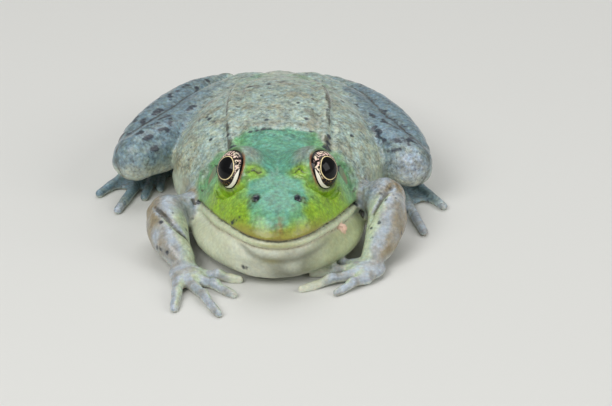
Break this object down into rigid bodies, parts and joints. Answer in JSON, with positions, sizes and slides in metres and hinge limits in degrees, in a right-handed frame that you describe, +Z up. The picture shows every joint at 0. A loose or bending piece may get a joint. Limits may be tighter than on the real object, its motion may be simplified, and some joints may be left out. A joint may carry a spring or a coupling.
{
  "type": "green frog",
  "caption": "Still, life-size green frog crouched on its belly, facing forward, with hands flat, hind legs folded and webbed toes spread.",
  "frame": {"origin": "on the floor, under the middle of the frog's bounding box", "axes": "+Z up, the frog faces -Y and its own left side is +X"},
  "size_m": [0.0746, 0.1012, 0.023],
  "materials": {
    "head_skin": "moist, finely grained, glossy",
    "throat_skin": "moist, smooth, pale",
    "body_skin": "moist, finely warty, satin to glossy",
    "limb_skin": "moist, finely grained, blotched",
    "eye": "wet, high gloss",
    "eardrum": "thin, taut, satin"
  },
  "bodies": {
    "root": {"head": "head_skin", "lower_jaw": "throat_skin", "trunk": "body_skin", "eye_right": "eye", "eardrum_right": "eardrum", "eye_left": "eye", "eardrum_left": "eardrum", "upper_arm_right": "limb_skin", "forearm_right": "limb_skin", "hand_right": "limb_skin", "finger_1_right": "limb_skin", "finger_2_right": "limb_skin", "finger_3_right": "limb_skin", "finger_4_right": "limb_skin", "upper_arm_left": "limb_skin", "forearm_left": "limb_skin", "hand_left": "limb_skin", "finger_1_left": "limb_skin", "finger_2_left": "limb_skin", "finger_3_left": "limb_skin", "finger_4_left": "limb_skin", "thigh_right": "limb_skin", "shank_right": "limb_skin", "ankle_right": "limb_skin", "sole_right": "limb_skin", "toe_1_right": "limb_skin", "toe_2_right": "limb_skin", "toe_3_right": "limb_skin", "toe_4_right": "limb_skin", "toe_5_right": "limb_skin", "thigh_left": "limb_skin", "shank_left": "limb_skin", "ankle_left": "limb_skin", "sole_left": "limb_skin", "toe_1_left": "limb_skin", "toe_2_left": "limb_skin", "toe_3_left": "limb_skin", "toe_4_left": "limb_skin", "toe_5_left": "limb_skin"}
  },
  "joints": []
}
